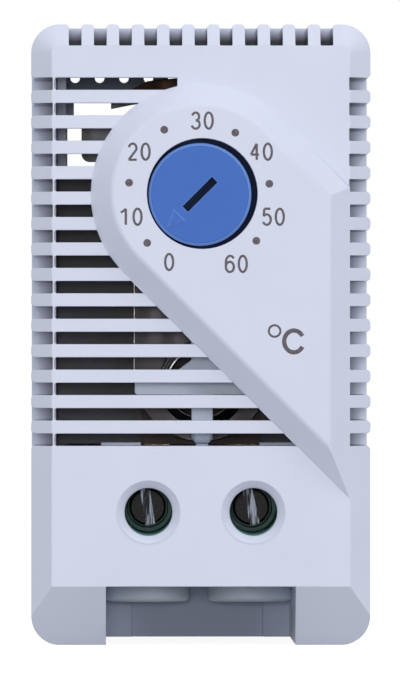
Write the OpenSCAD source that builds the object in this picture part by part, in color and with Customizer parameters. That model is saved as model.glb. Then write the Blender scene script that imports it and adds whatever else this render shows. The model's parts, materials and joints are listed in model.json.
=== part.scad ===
// Small cabinet thermostat: a vented two-shell housing for a 35 mm rail, a setting knob with a face cam,
// a lever and spring that load a bimetal blade, a snap contact and two rising-cage terminals.
// Millimetres. +Z is up, the dial faces -Y, and the origin is the middle of the footprint.

/* [Housing] */
// Width of the housing
body_w = 33; // [32:0.5:36]
// Height of the housing
body_h = 60.4; // [59.5:0.1:64]
// Depth from the front face to the rail seat
body_d = 36.5; // [36:0.5:42]
// Depth of the front cover
cover_d = 20; // [19:0.25:22]
// Thickness of the front wall and the floor
wall = 1.8; // [1.5:0.1:2]
// Thickness of the side and top walls
edge_wall = 2.4; // [2.3:0.05:2.6]
// Thickness of the rear wall
rear_wall = 2; // [1.6:0.1:2.5]
// Chamfer along the sides and the top of the front face
edge_chamfer = 2; // [1.5:0.1:2.4]
// Corner radius of the outline
corner_r = 2.8; // [2.5:0.1:3.5]
// Height of the bevel under the front face
toe_h = 5.75; // [5:0.05:6.5]
// Depth of that bevel
toe_d = 4; // [2:0.25:6]
// Seam between the two shells
seam = 0.1; // [0.05:0.05:0.3]
// Length of the rear shell's lip inside the cover
lip_len = 1.6; // [1:0.1:2.5]

/* [Vents] */
// Width of a vent slot
slot_w = 1.2; // [0.8:0.05:1.5]
// Depth at which the slots end
slot_depth = 16; // [10:0.5:17]
// Flare of a slot's mouth
slot_flare = 0.25; // [0.1:0.05:0.4]
// Depth of the grooves in the sides and the top
groove_depth = 2.1; // [1.6:0.05:2.1]
// Radius in the corners of a front slot
slot_end_r = 0.28; // [0.1:0.02:0.4]
// How far the front slots reach over the side wall
slot_reach = 0.14; // [0:0.02:0.2]
// Number of side slots
side_slots = 15; // [8:1:15]
// Drop of the uppermost side slot below the top
side_slot_drop = 5.8; // [5.5:0.1:7]
// Pitch of the side slots
side_slot_pitch = 2.47; // [2.2:0.01:2.5]
// Number of top slots
top_slots = 11; // [5:1:11]
// Pitch of the top slots
top_slot_pitch = 2.445; // [2.2:0.005:2.5]
// Where the uppermost front slot ends, from the middle
first_slot_end = -2.3; // [-4:0.1:0]
// Width of a rear vent slot
rear_slot_w = 0.95; // [0.6:0.05:1.2]

/* [Dial plateau] */
// Drop of the dial's centre below the top
dial_drop = 16.5; // [15.5:0.1:17]
// Height of the plateau above the front face
plateau_rise = 2; // [1:0.1:2.5]
// Radius of the plateau's round end at its foot
plateau_r = 10.7; // [10:0.1:11]
// Width of the bevel round the plateau
plateau_bevel = 2.05; // [1:0.05:2.5]
// Radius along the plateau's upper edge
plateau_edge_r = 0.8; // [0.2:0.1:1.2]
// Radius of the hole round the knob's head
dial_hole_r = 5.37; // [5.3:0.01:5.8]
// Where the middle of that hole lies across the width
dial_hole_x = 0.1; // [-0.2:0.05:0.2]
// How far the knob lies to the left of the hole's middle
knob_aside = 0.22; // [0:0.02:0.24]
// How far the knob lies below the hole's middle
knob_sag = 0.08; // [0:0.02:0.12]

/* [Knob] */
// Radius of the knob's head
head_r = 5; // [4.5:0.1:5.1]
// Radius of the knob's hub
hub_r = 3.6; // [3.2:0.1:3.9]
// Length of the screwdriver slot
driver_slot_len = 4.05; // [3:0.05:5]
// Width of the screwdriver slot
driver_slot_w = 0.77; // [0.6:0.01:1.2]
// Pointer's angle at rest, clockwise from the top
pointer_angle = -135; // [-150:1:-120]
// Lift of the face cam over the whole scale
cam_lift = 2; // [1:0.1:2.2]
// Turn of the knob over the whole scale
scale_turn = 308; // [270:1:310]
// Turn from the rest position back to the scale's start
rest_turn = 19; // [0:1:30]

/* [Mechanism] */
// Middle of the lever and blade across the width
mech_x = 0.2; // [0:0.1:0.5]
// Half width of the blade
blade_half_w = 6.7; // [5.5:0.1:7]
// Thickness of the blade
blade_t = 0.5; // [0.3:0.05:0.6]
// Height of the blade's lower end
blade_low = 19.7; // [19.6:0.1:21]
// Depth of the blade's front face
blade_depth = 12.9; // [12.8:0.1:13.2]
// Radius of the lever's boss
boss_r = 2.2; // [2:0.1:2.4]
// Height of the boss and the cross bar
boss_z = 25.4; // [25:0.1:27]
// Half width of the lever's cross bar
cross_half_w = 6.6; // [5:0.1:7]
// Width of the lever's leg
leg_w = 2.08; // [1.8:0.02:2.6]
// Thickness of the lever
lever_t = 1.6; // [1.2:0.1:1.8]
// Mean radius of the lever spring at the lever
spring_r = 3.3; // [3:0.05:3.6]
// Mean radius of the lever spring at the blade
spring_end_r = 4.2; // [3.8:0.05:4.3]
// Wire diameter of the lever spring
spring_wire = 0.45; // [0.3:0.05:0.5]
// Thickness of the carrier plate
carrier_t = 1.8; // [1.5:0.1:1.8]
// Half width of the contact board
board_half_w = 5.8; // [4.5:0.1:6]
// Thickness of the contact board
board_t = 1.2; // [0.8:0.1:1.3]
// Thickness of the metal strips
strip_t = 0.8; // [0.5:0.1:0.9]
// Radius of a contact button
contact_r = 1; // [0.8:0.1:1]
// Radius of the blade's hole behind the spring
blade_hole_r = 3.5; // [3:0.1:3.6]

/* [Terminals] */
// Distance of a terminal from the middle
terminal_x = 5.1; // [5:0.05:5.4]
// Height of the access holes
hole_z = 13; // [12.8:0.1:13.2]
// How far the terminal screws lie above the middle of the holes
screw_rise = 0.3; // [0:0.05:0.35]
// Radius of an access hole's countersink at the front face
sink_r = 3.08; // [2.8:0.01:3.4]
// Radius of an access hole behind its countersink
access_r = 2.33; // [2:0.01:2.5]
// Depth of the countersink
sink_d = 0.75; // [0.5:0.05:1.2]
// Radius of a terminal screw's head
screw_head_r = 1.8; // [1.6:0.05:1.9]
// Radius of a terminal screw's shank
screw_r = 1.5; // [1.2:0.05:1.5]
// Pitch of the screw's thread
thread_pitch = 0.5; // [0.4:0.05:0.5]
// Turns from open to closed
clamp_turns = 5; // [3:1:5]
// Radius of a wire guide's bore
guide_bore_r = 3.1; // [2.6:0.1:3.2]
// Outer radius of a wire guide
guide_r = 4.2; // [3.8:0.1:4.2]
// Height of the wire guides' rims
guide_low = 3.8; // [3.5:0.1:4.3]
// Radius round a wire guide's rim
guide_rim_r = 0.5; // [0.2:0.1:0.8]

/* [Cable notch] */
// Width of the notch
notch_w = 18.45; // [17.5:0.05:18.6]
// Wall round the notch
notch_wall = 1.2; // [1:0.1:1.5]

/* [Rail clip] */
// Width of the rail
rail_w = 35; // [34.5:0.1:35.5]
// Thickness of the rail's flange with clearance
rail_gap = 1.4; // [1.2:0.1:2]
// Height of the rail's middle
rail_z = 26; // [25.5:0.1:26.2]
// Reach of the hooks behind the seat
hook_reach = 4.5; // [4.2:0.1:6]
// Thickness of a hook's root
hook_root = 2.6; // [2:0.1:2.8]
// Length of a hook's lip over the rail
hook_lip = 2.1; // [1.5:0.1:3]
// Width of the sprung upper hook
hook_w = 16; // [12:0.5:17]
// Width of the fixed lower hook
lower_hook_w = 20; // [12:0.5:24]

/* [Clearances] */
// Running clearance of a turning piece, on the radius
run_gap = 0.06; // [0.03:0.01:0.08]
// Clearance between pieces that stay together
seat_gap = 0.1; // [0.05:0.01:0.15]
// Clearance round a piece that moves
move_gap = 0.25; // [0.2:0.01:0.3]

/* [Hidden] */
$fn = 64;
total_d = plateau_rise + body_d + hook_reach;
front_y = plateau_rise - total_d / 2;
half_w = body_w / 2;
inner_half_w = half_w - edge_wall;
inner_top = body_h - edge_wall;
inner_rear = body_d - rear_wall;
lip_half_w = inner_half_w - seat_gap;
lip_top = inner_top - seat_gap;
lip_t = 0.9;
lip_root = 1.2;
face_half_w = half_w - edge_chamfer;
dial_z = body_h - dial_drop;
past = 1;

// Knob and cam, as depths behind the front face
knob_x = dial_hole_x - knob_aside;
knob_z = dial_z - knob_sag;
pointer_rise = 0.15;
head_front = pointer_rise - plateau_rise;
skin_back = 0.5;
flange_r = dial_hole_r + 0.9;
flange_front = skin_back + seat_gap;
flange_back = flange_front + 0.9;
clip_front = flange_back + seat_gap;
clip_t = 1.4;
dial_well_r = flange_r + move_gap;
dial_collar_r = dial_well_r + wall / 2;
dial_collar_back = clip_front + clip_t + 0.3;
hub_end = 7;
cam_start = 0.1;
cam_inner_r = hub_r - 1.5;
cam_outer_r = hub_r - 0.08;
cam_mean_r = (cam_inner_r + cam_outer_r) / 2;
cam_run_out = 10;
cam_steps = 36;
cam_low_angle = 180 + rest_turn;

// Lever, as depths behind the front face
lever_front = 8.4;
lever_back = lever_front + lever_t;
lever_axis_d = lever_front + lever_t / 2;
follower_z = knob_z - cam_mean_r;
follower_front = hub_end + cam_start + cam_lift * rest_turn / scale_turn + 0.2;
foot_r = leg_w / 2;
lever_pivot_z = blade_low - 0.1 + foot_r;
cross_low = boss_z - 1.05;
cross_high = boss_z + 1.35;
boss_back = lever_back + 1.6;

// Blade and contacts, as depths and heights
blade_back = blade_depth + blade_t;
bracket_front = blade_back + seat_gap;
bracket_t = 1;
bracket_left = -11.6;
bracket_right = 8.4;
bracket_low = 46.3;
bracket_high = 51.2;
blade_pivot_z = 48.8;
blade_high = 50.6;
rivet_r = 1;
rivet_x = 3.5;
contact_z = blade_low + 1.1;
contact_t = 0.5;
contact_gap = 0.55;
fixed_front = blade_back + contact_t + contact_gap;
fixed_t = 0.4;
fixed_shank_r = 0.5;
board_front = fixed_front + fixed_t;
bus_front = board_front + board_t;
bus_front_t = 0.4;
carrier_front = bus_front + bus_front_t;
carrier_back = carrier_front + carrier_t;
carrier_half_w = lip_half_w - lip_t - move_gap;
carrier_rail_back = carrier_back + 2.6;
carrier_rail_low = 43;
magnet_front = blade_back + 0.6;
magnet_half_w = 3.4;
magnet_z = [27.2, 31.6];
board_high = 33.5;
calibration_z = 38;
calibration_tip = blade_back + 0.35;
calibration_boss = 2;
board_rivet_x = 3.6;
board_rivet_z = 25;
bracket_rivet_x = 4.6;
bracket_rivet_d = carrier_front + 2.4;
bracket_rivet_len = 2.6;

// Shelf above the terminals and the carrier's fixings
shelf_top = blade_low - 0.35;
shelf_t = 1.6;
shelf_low = shelf_top - shelf_t;
shelf_front = 6;
carrier_rib_t = 1.4;
column_z = [24.5, 40.5];
column_r = 2;
column_x = carrier_half_w - carrier_rib_t - column_r - 0.45;
peg_r = 1;
peg_len = 1.2;
carrier_screw_r = 1.1;
carrier_screw_head_r = 2.1;
carrier_screw_len = 9;

// Terminals, as depths behind the front face
notch_top = toe_h;
notch_ledge = 2.7;
notch_ledge_d = 33.9;
block_low = notch_top + notch_wall + seat_gap;
block_high = shelf_low - seat_gap;
block_front = 13.2;
block_back = 29;
block_half_w = terminal_x + 5;
screw_z = hole_z + screw_rise;
screw_front = block_front + 1.4;
screw_head_t = 1.4;
shoulder_front = screw_front + screw_head_t + seat_gap;
shoulder_t = 0.9;
clamp_travel = thread_pitch * clamp_turns;
cage_front = shoulder_front + shoulder_t + clamp_travel + move_gap;
cage_front_t = 1.2;
busbar_front = cage_front + cage_front_t + 0.8;
busbar_back = busbar_front + strip_t;
screw_tip = busbar_front - seat_gap;
wire_space = 3.8;
cage_rear = busbar_back + wire_space;
cage_rear_t = 1;
cage_inner_half_w = 2.5;
cage_half_w = 3.3;
cage_half_h = 3;
busbar_half_w = 2.2;
busbar_low = 9.4;
lug_x1 = mech_x + board_half_w - 0.4;
lug_low = shelf_top + 0.4;
lug_high = contact_z - move_gap;
pad_half_h = contact_r + 0.2;
wire_d = busbar_back + wire_space / 2;
wire_hole_r = 2.4;
neck_front = wall + move_gap;
neck_bore_r = access_r + 0.1;
neck_r = neck_bore_r + 0.8;
screw_lean = [9, 12];

// Rail clip heights and the rear wall's openings
rail_top = rail_z + rail_w / 2 + 0.2;
rail_low = rail_z - rail_w / 2 - 0.2;
window_low = rail_top + hook_root + 0.2;
window_high = inner_top - 4;
window_half_w = 13;
window_step = 0.65;
window_step_z = window_high - 2.5;
tongue_slot_w = 1;
tongue_low = 34;
hook_lead = 1;
rear_slot_low = window_high + 1.45;
rear_slot_high = inner_top - 0.2;

function at_depth(d) = front_y + d;
function side_slot_z(i) = body_h - side_slot_drop - i * side_slot_pitch;
function centred(i, count, pitch) = (i - (count - 1) / 2) * pitch;

// A box given by its sides, its depths behind the front face and its heights
module block(x0, x1, d0, d1, z0, z1) {
    translate([x0, at_depth(d0), z0]) cube([x1 - x0, d1 - d0, z1 - z0]);
}

// A round bar along the depth, from one depth to another
module bar(x, z, d0, d1, r, r_end) {
    translate([x, at_depth(d0), z])
        rotate([-90, 0, 0])
            cylinder(h = d1 - d0, r1 = r, r2 = is_undef(r_end) ? r : r_end);
}

// A front-view profile, extruded from one depth to another
module slab(d0, d1) {
    translate([0, at_depth(d1), 0])
        rotate([90, 0, 0])
            linear_extrude(d1 - d0) children();
}

// A side-view profile in depth and height, extruded across the width
module side_profile(x0, x1, points) {
    translate([x0, 0, 0])
        rotate([90, 0, 90])
            linear_extrude(x1 - x0) polygon([for (p = points) [at_depth(p[0]), p[1]]]);
}

// What a rounded corner takes off a square one, with an optional chamfer cone at the front
module corner_cut(side, z_corner, up, d0, d1, cone) {
    x_axis = side * (half_w - corner_r);
    z_axis = z_corner - up * corner_r;
    difference() {
        translate([x_axis + (side < 0 ? -corner_r - past : 0), at_depth(d0 - past),
                   z_axis + (up < 0 ? -corner_r - past : 0)])
            cube([corner_r + past, d1 - d0 + 2 * past, corner_r + past]);
        bar(x_axis, z_axis, d0 + cone - (cone > 0 ? 0 : 2 * past), d1 + 2 * past, corner_r);
        if (cone > 0)
            bar(x_axis, z_axis, d0, d0 + cone, corner_r - cone, corner_r);
    }
}

// Outline of the dial plateau in the front view, drawn in by an inset
module teardrop(inset) {
    r = plateau_r - inset;
    right = face_half_w - inset;
    reach = r * sqrt(2);
    translate([0, dial_z]) circle(r);
    polygon([[-r / sqrt(2), dial_z - r / sqrt(2)],
             [right, dial_z - reach - right],
             [right, dial_z + reach - right],
             [r / sqrt(2), dial_z + r / sqrt(2)]]);
}

// The plateau's edge in section, from its foot to its top: distance outwards and depth
function plateau_edge(foot) =
    let (slope = atan2(plateau_rise, plateau_bevel),
         x = foot - plateau_bevel - plateau_edge_r * tan(slope / 2),
         d = plateau_edge_r - plateau_rise)
    concat([[foot, 0]],
           [for (i = [6 : -1 : 0])
               [x + plateau_edge_r * sin(slope * i / 6), d - plateau_edge_r * cos(slope * i / 6)]]);

// Takes one straight flank of the plateau down to its bevel; the flank faces away from the dial's centre
module flank_cut(turn, foot) {
    edge = plateau_edge(foot);
    top = edge[len(edge) - 1];
    section = concat(edge, [[top[0], top[1] - past], [foot + body_w, top[1] - past], [foot + body_w, 0]]);
    translate([0, 0, dial_z])
        rotate([0, turn, 0])
            linear_extrude(4 * body_h, center = true)
                polygon([for (p = section) [p[0], at_depth(p[1])]]);
}

module plateau() {
    flank_proud = 0.004;
    flank = plateau_r + flank_proud;
    sunk = 0.4;
    translate([0, at_depth(0), dial_z])
        rotate([90, 0, 0])
            rotate_extrude()
                polygon([for (p = concat([[0, 0]], plateau_edge(plateau_r), [[0, -plateau_rise]]))
                            [p[0], -p[1]]]);
    difference() {
        slab(-plateau_rise, 0)
            polygon([[-flank / sqrt(2), dial_z - flank / sqrt(2)],
                     [face_half_w, dial_z - flank * sqrt(2) - face_half_w],
                     [face_half_w, dial_z + flank * sqrt(2) - face_half_w],
                     [flank / sqrt(2), dial_z + flank / sqrt(2)]]);
        flank_cut(135, flank);
        flank_cut(-45, flank);
        flank_cut(0, face_half_w);
    }
    slab(-0.01, sunk) teardrop(0.2);
}

module cover_outside() {
    difference() {
        intersection() {
            linear_extrude(body_h)
                polygon([[-half_w, at_depth(edge_chamfer)], [-face_half_w, at_depth(0)],
                         [face_half_w, at_depth(0)], [half_w, at_depth(edge_chamfer)],
                         [half_w, at_depth(cover_d)], [-half_w, at_depth(cover_d)]]);
            side_profile(-half_w, half_w,
                         [[cover_d, 0], [toe_d, 0], [0, toe_h], [0, body_h - edge_chamfer],
                          [edge_chamfer, body_h], [cover_d, body_h]]);
        }
        for (side = [-1, 1]) {
            corner_cut(side, body_h, 1, 0, cover_d, edge_chamfer);
            corner_cut(side, 0, -1, 0, cover_d, 0);
        }
    }
}

// A slot that opens outwards through a wall: its section across the slot, from the outer face inwards
module slot_section(outer, inner) {
    mouth = slot_w / 2 + slot_flare;
    polygon([[outer + past, -mouth], [outer, -mouth], [outer - slot_flare, -slot_w / 2], [inner, -slot_w / 2],
             [inner, slot_w / 2], [outer - slot_flare, slot_w / 2], [outer, mouth], [outer + past, mouth]]);
}

// A slot in the front wall, from its rounded left end to the right
module front_slot(length) {
    translate([slot_end_r, -slot_w / 2]) square([length - slot_end_r, slot_w]);
    translate([0, slot_end_r - slot_w / 2]) square([2 * slot_end_r, slot_w - 2 * slot_end_r]);
    for (side = [-1, 1])
        translate([slot_end_r, side * (slot_w / 2 - slot_end_r)]) circle(slot_end_r, $fn = 24);
}

module cover_slots() {
    for (i = [0 : side_slots - 1]) {
        z = side_slot_z(i);
        for (side = [0, 1])
            mirror([side, 0, 0])
                slab(-past, slot_depth) translate([0, z]) slot_section(half_w, half_w - groove_depth);
    }
    for (i = [0 : top_slots - 1]) {
        x = centred(i, top_slots, top_slot_pitch);
        slab(-past, slot_depth)
            translate([x, 0]) rotate(90) slot_section(body_h, body_h - groove_depth);
    }
    difference() {
        for (i = [0 : side_slots - 1]) {
            z = side_slot_z(i);
            end = z > dial_z ? first_slot_end : face_half_w - past;
            slab(-past, wall + past)
                translate([-inner_half_w - slot_reach, z]) front_slot(end + inner_half_w + slot_reach);
        }
        slab(-past, wall + past) teardrop(0);
    }
}

module notch_tunnel(d0, d1) {
    block(-notch_w / 2 - notch_wall, notch_w / 2 + notch_wall, d0, d1, 0, notch_top + notch_wall);
}

module front_cover() {
    color([0.82, 0.84, 0.91]) difference() {
        union() {
            difference() {
                cover_outside();
                difference() {
                    block(-inner_half_w, inner_half_w, wall, cover_d + past, wall, inner_top);
                    notch_tunnel(0, cover_d + 2 * past);
                    side_profile(-half_w, half_w,
                                 [[0, 0], [toe_d + wall, 0], [wall, toe_h + wall], [0, toe_h + wall]]);
                }
                cover_slots();
            }
            plateau();
            bar(knob_x, knob_z, 0, dial_collar_back, dial_collar_r);
        }
        block(-notch_w / 2, notch_w / 2, -past, cover_d + past, -past, notch_top);
        bar(dial_hole_x, dial_z, -plateau_rise - past, dial_collar_back, dial_hole_r);
        bar(knob_x, knob_z, skin_back, dial_collar_back + past, dial_well_r);
        for (side = [-1, 1]) {
            bar(side * terminal_x, hole_z, 0, sink_d, sink_r, access_r);
            bar(side * terminal_x, hole_z, -past, 0.01, sink_r);
            bar(side * terminal_x, hole_z, sink_d - 0.01, wall + past, access_r);
        }
    }
}

module base_shell() {
    difference() {
        union() {
            difference() {
                block(-half_w, half_w, cover_d + seam, body_d, 0, body_h);
                for (side = [-1, 1]) {
                    corner_cut(side, body_h, 1, cover_d, body_d, 0);
                    corner_cut(side, 0, -1, cover_d, body_d, 0);
                }
            }
            block(-lip_half_w, lip_half_w, cover_d - lip_len, cover_d + lip_root, shelf_low, lip_top);
        }
        difference() {
            union() {
                block(-lip_half_w + lip_t, lip_half_w - lip_t, cover_d - lip_len - past, inner_rear,
                      wall, lip_top - lip_t);
                block(-inner_half_w, inner_half_w, cover_d + lip_root, inner_rear, wall, inner_top);
            }
            notch_tunnel(cover_d - lip_len - 2 * past, body_d);
        }
    }
}

module rear_openings() {
    block(-window_half_w, window_half_w, inner_rear - past, body_d + past, window_low, window_step_z);
    block(-window_half_w + window_step, window_half_w - window_step, inner_rear - past, body_d + past,
          window_low, window_high);
    for (side = [-1, 1])
        block(side * (hook_w / 2 + tongue_slot_w) - tongue_slot_w / 2,
              side * (hook_w / 2 + tongue_slot_w) + tongue_slot_w / 2,
              inner_rear - past, body_d + past, tongue_low, window_low + past);
    for (i = [0 : top_slots - 1]) {
        x = centred(i, top_slots, top_slot_pitch);
        slab(inner_rear - past, body_d + past) {
            translate([x, rear_slot_low + rear_slot_w / 2]) circle(d = rear_slot_w);
            translate([x, rear_slot_high - rear_slot_w / 2]) circle(d = rear_slot_w);
            translate([x - rear_slot_w / 2, rear_slot_low + rear_slot_w / 2])
                square([rear_slot_w, rear_slot_high - rear_slot_low - rear_slot_w]);
        }
    }
    block(-notch_w / 2, notch_w / 2, 0, inner_rear, -past, notch_top);
}

// A rail hook in side view: root, then a lip along the rail with a lead-in chamfer
module rail_hook(width, edge_z, up) {
    seat = body_d - 0.2;
    end = body_d + hook_reach;
    grip = body_d + rail_gap;
    side_profile(-width / 2, width / 2,
                 [[seat, edge_z], [grip, edge_z], [grip, edge_z - up * hook_lip],
                  [end - hook_lead, edge_z - up * hook_lip], [end, edge_z - up * (hook_lip - hook_lead)],
                  [end, edge_z + up * hook_root], [seat, edge_z + up * hook_root]]);
}

module shelf() {
    shelf_half_w = inner_half_w - 3 * seat_gap;
    trough_rise = 0.95;
    trough_half_w = 0.6;
    rest_in = 5.8;
    rest_out = 9.7;
    rest_rise = 0.35;
    difference() {
        union() {
            block(-shelf_half_w, shelf_half_w, shelf_front, cover_d, shelf_low, shelf_top);
            block(-inner_half_w - 0.2, inner_half_w + 0.2, cover_d, inner_rear + 0.2, shelf_low, shelf_top);
            block(mech_x - trough_half_w, mech_x + trough_half_w, lever_axis_d, lever_axis_d + leg_w,
                  shelf_low, shelf_top + trough_rise);
            for (x = [-rest_out, rest_in])
                block(x, x + rest_out - rest_in, shelf_front + 2, cover_d / 2 + 2,
                      shelf_low, shelf_top + rest_rise);
        }
        translate([mech_x - leg_w / 2 - move_gap, at_depth(lever_axis_d), lever_pivot_z])
            rotate([0, 90, 0]) cylinder(h = leg_w + 2 * move_gap, r = foot_r + run_gap);
        for (side = [-1, 1])
            block(side * terminal_x - busbar_half_w - move_gap, side * terminal_x + busbar_half_w + move_gap,
                  busbar_front - move_gap, busbar_back + move_gap, shelf_low - past, shelf_top + past);
    }
}

// A tube round a wire's way in, with a rounded rim
module wire_guide(side) {
    guide_top = notch_top + notch_wall / 2;
    rim = [for (i = [0 : 6])
        [guide_r - guide_rim_r * (1 - sin(15 * i)), guide_low + guide_rim_r * (1 - cos(15 * i))]];
    translate([side * terminal_x, at_depth(wire_d), 0])
        rotate_extrude()
            polygon(concat([[0, guide_low]], rim, [[guide_r, guide_top], [0, guide_top]]));
}

module rear_base() {
    color([0.80, 0.82, 0.89]) difference() {
        union() {
            difference() {
                base_shell();
                rear_openings();
            }
            rail_hook(hook_w, rail_top, 1);
            rail_hook(lower_hook_w, rail_low, -1);
            shelf();
            for (side = [-1, 1]) {
                wire_guide(side);
                block(side * notch_w / 2 - (side > 0 ? notch_ledge : 0.2),
                      side * notch_w / 2 + (side < 0 ? notch_ledge : 0.2),
                      notch_ledge_d, inner_rear + 0.2, 0, notch_top + 0.2);
                for (z = column_z)
                    bar(side * column_x, z, carrier_back, inner_rear + 0.3, column_r);
            }
            for (z = column_z)
                bar(-column_x, z, carrier_back - peg_len, carrier_back + past, peg_r);
        }
        for (side = [-1, 1])
            translate([side * terminal_x, at_depth(wire_d), guide_low - 2 * past])
                cylinder(h = notch_top + notch_wall - guide_low + 3 * past, r = guide_bore_r);
        for (z = column_z)
            bar(column_x, z, carrier_back - past, carrier_front + carrier_screw_len + 0.5,
                carrier_screw_r + 0.02);
    }
}

// Height of the face cam above the hub's end, at an angle clockwise from the top
function cam_height(angle) = cam_start + cam_lift * (cam_low_angle - angle) / scale_turn;
function cam_point(r, angle, d) = [knob_x + r * sin(angle), at_depth(d), knob_z + r * cos(angle)];

// A ramp round the hub's inner end
module cam_ramp() {
    first = cam_low_angle + cam_run_out;
    last = cam_low_angle - scale_turn - cam_run_out;
    root = hub_end - 0.3;
    points = [for (i = [0 : cam_steps])
        let (angle = first + (last - first) * i / cam_steps, top = hub_end + cam_height(angle))
        each [cam_point(cam_inner_r, angle, root), cam_point(cam_outer_r, angle, root),
              cam_point(cam_outer_r, angle, top), cam_point(cam_inner_r, angle, top)]];
    sides = [for (i = [0 : cam_steps - 1], k = [0 : 3])
        let (a = 4 * i + k, b = 4 * i + (k + 1) % 4)
        each [[a, b + 4, b], [a, a + 4, b + 4]]];
    last_ring = 4 * cam_steps;
    polyhedron(points, concat(sides, [[0, 1, 2, 3], [for (k = [3 : -1 : 0]) last_ring + k]]));
}

module dial_knob() {
    edge = 0.3;
    slot_d = 1.6;
    recess_d = 2.5;
    pointer_apex = 4.37;
    pointer_base = 2.84;
    pointer_half_w = 0.75;
    color([0.25, 0.42, 0.74]) difference() {
        union() {
            bar(knob_x, knob_z, head_front, head_front + edge, head_r - edge, head_r);
            bar(knob_x, knob_z, head_front + edge, flange_front, head_r);
            bar(knob_x, knob_z, flange_front, flange_back, flange_r);
            bar(knob_x, knob_z, flange_back, hub_end, hub_r);
            cam_ramp();
            slab(head_front - pointer_rise, head_front + edge)
                translate([knob_x, knob_z]) rotate(-pointer_angle)
                    polygon([[0, pointer_apex], [pointer_half_w, pointer_base],
                             [-pointer_half_w, pointer_base]]);
        }
        slab(head_front - past, head_front + slot_d)
            translate([knob_x, knob_z]) rotate(-pointer_angle)
                square([driver_slot_w, driver_slot_len], center = true);
        bar(knob_x, knob_z, hub_end - recess_d, hub_end + cam_lift + past, cam_inner_r - 0.4);
    }
}

// Ring in the cover's collar that holds the knob's flange and guides its hub
module knob_clip() {
    clip_back = clip_front + clip_t;
    lug_gap = 2.4;
    color([0.72, 0.75, 0.84]) difference() {
        bar(knob_x, knob_z, clip_front, clip_back, dial_well_r - seat_gap / 2);
        bar(knob_x, knob_z, clip_front - past, clip_back + past, hub_r + run_gap);
        for (turn = [0, 120, 240])
            translate([knob_x, 0, knob_z]) rotate([0, turn, 0])
                block(-lug_gap / 2, lug_gap / 2, clip_front - past, clip_back + past,
                      dial_well_r - lug_gap / 2, dial_well_r + past);
    }
}

module mechanism_carrier() {
    rail_half_w = 9;
    notch_x0 = terminal_x - busbar_half_w - move_gap;
    notch_x1 = lug_x1 + move_gap;
    plate_half_w = inner_half_w - seat_gap;
    pad_low = contact_z + pad_half_h + move_gap;
    rib_d = 6;
    carrier_low = shelf_top + seat_gap;
    color([0.16, 0.16, 0.18]) difference() {
        union() {
            block(-plate_half_w, plate_half_w, carrier_front, carrier_back, carrier_low, bracket_low);
            block(mech_x - board_half_w, mech_x + board_half_w, bus_front, carrier_front + 0.1,
                  pad_low, board_high);
            block(-rail_half_w, rail_half_w, carrier_front, carrier_rail_back, carrier_rail_low, bracket_low);
            for (side = [-1, 1])
                block(side * carrier_half_w - (side > 0 ? carrier_rib_t : 0),
                      side * carrier_half_w + (side < 0 ? carrier_rib_t : 0),
                      carrier_front, carrier_front + rib_d, carrier_low, bracket_low);
            bar(mech_x, calibration_z, carrier_front, carrier_back + calibration_boss, 2 * screw_r);
        }
        bar(mech_x, calibration_z, carrier_front - past, carrier_back + calibration_boss + past,
            screw_r + 0.03);
        for (z = column_z) {
            bar(column_x, z, carrier_front - past, carrier_back + past, carrier_screw_r + 0.1);
            bar(-column_x, z, carrier_back - peg_len - 0.2, carrier_back + past, peg_r + 0.05);
        }
        block(notch_x0, notch_x1, carrier_front - past, carrier_front + rib_d, shelf_top, contact_z);
        for (side = [-1, 1]) {
            bar(mech_x + side * board_rivet_x, board_rivet_z, bus_front - past, carrier_back + past,
                rivet_r + 0.03);
            translate([mech_x + side * bracket_rivet_x, at_depth(bracket_rivet_d),
                       bracket_low - bracket_rivet_len])
                cylinder(h = bracket_rivet_len + past, r = rivet_r + 0.03);
        }
    }
}

module carrier_screws() {
    color([0.55, 0.55, 0.57]) for (z = column_z) difference() {
        union() {
            bar(column_x, z, carrier_front - 1.2, carrier_front, carrier_screw_head_r);
            bar(column_x, z, carrier_front - 0.1, carrier_front + carrier_screw_len, carrier_screw_r);
        }
        block(column_x - 0.3, column_x + 0.3, carrier_front - 2 * past, carrier_front - 0.6,
              z - carrier_screw_head_r - past, z + carrier_screw_head_r + past);
    }
}

module setting_lever() {
    arm_half = leg_w / 2;
    gusset_half = 2.4;
    gusset_h = 1;
    end_r = 0.3;
    nose_r = 0.8;
    arm_top = follower_z + nose_r + 0.2;
    foot_chamfer = 0.4;
    color([0.72, 0.75, 0.84]) {
        slab(lever_front, lever_back) {
            translate([mech_x - arm_half, lever_pivot_z]) square([leg_w, boss_z - lever_pivot_z]);
            translate([mech_x - cross_half_w, cross_low + end_r])
                square([2 * cross_half_w, cross_high - cross_low - 2 * end_r]);
            translate([mech_x - cross_half_w + end_r, cross_low])
                square([2 * (cross_half_w - end_r), cross_high - cross_low]);
            for (side = [-1, 1], z = [cross_low + end_r, cross_high - end_r])
                translate([mech_x + side * (cross_half_w - end_r), z]) circle(end_r);
            polygon([[mech_x - gusset_half, boss_z], [mech_x + gusset_half, boss_z],
                     [mech_x + gusset_half, cross_high], [mech_x + arm_half, cross_high + gusset_h],
                     [knob_x + arm_half, arm_top], [knob_x - arm_half, arm_top],
                     [mech_x - arm_half, cross_high + gusset_h], [mech_x - gusset_half, cross_high]]);
        }
        bar(mech_x, boss_z, lever_back - 0.2, boss_back, boss_r);
        bar(knob_x, follower_z, follower_front + nose_r, lever_back - 0.2, nose_r);
        translate([knob_x, at_depth(follower_front + nose_r), follower_z]) sphere(nose_r);
        translate([mech_x, at_depth(lever_axis_d), lever_pivot_z]) rotate([0, 90, 0]) {
            cylinder(h = leg_w - 2 * foot_chamfer, r = foot_r, center = true);
            for (turn = [0, 180])
                rotate([turn, 0, 0]) translate([0, 0, leg_w / 2 - foot_chamfer])
                    cylinder(h = foot_chamfer, r1 = foot_r, r2 = foot_r - foot_chamfer);
        }
    }
}

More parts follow.
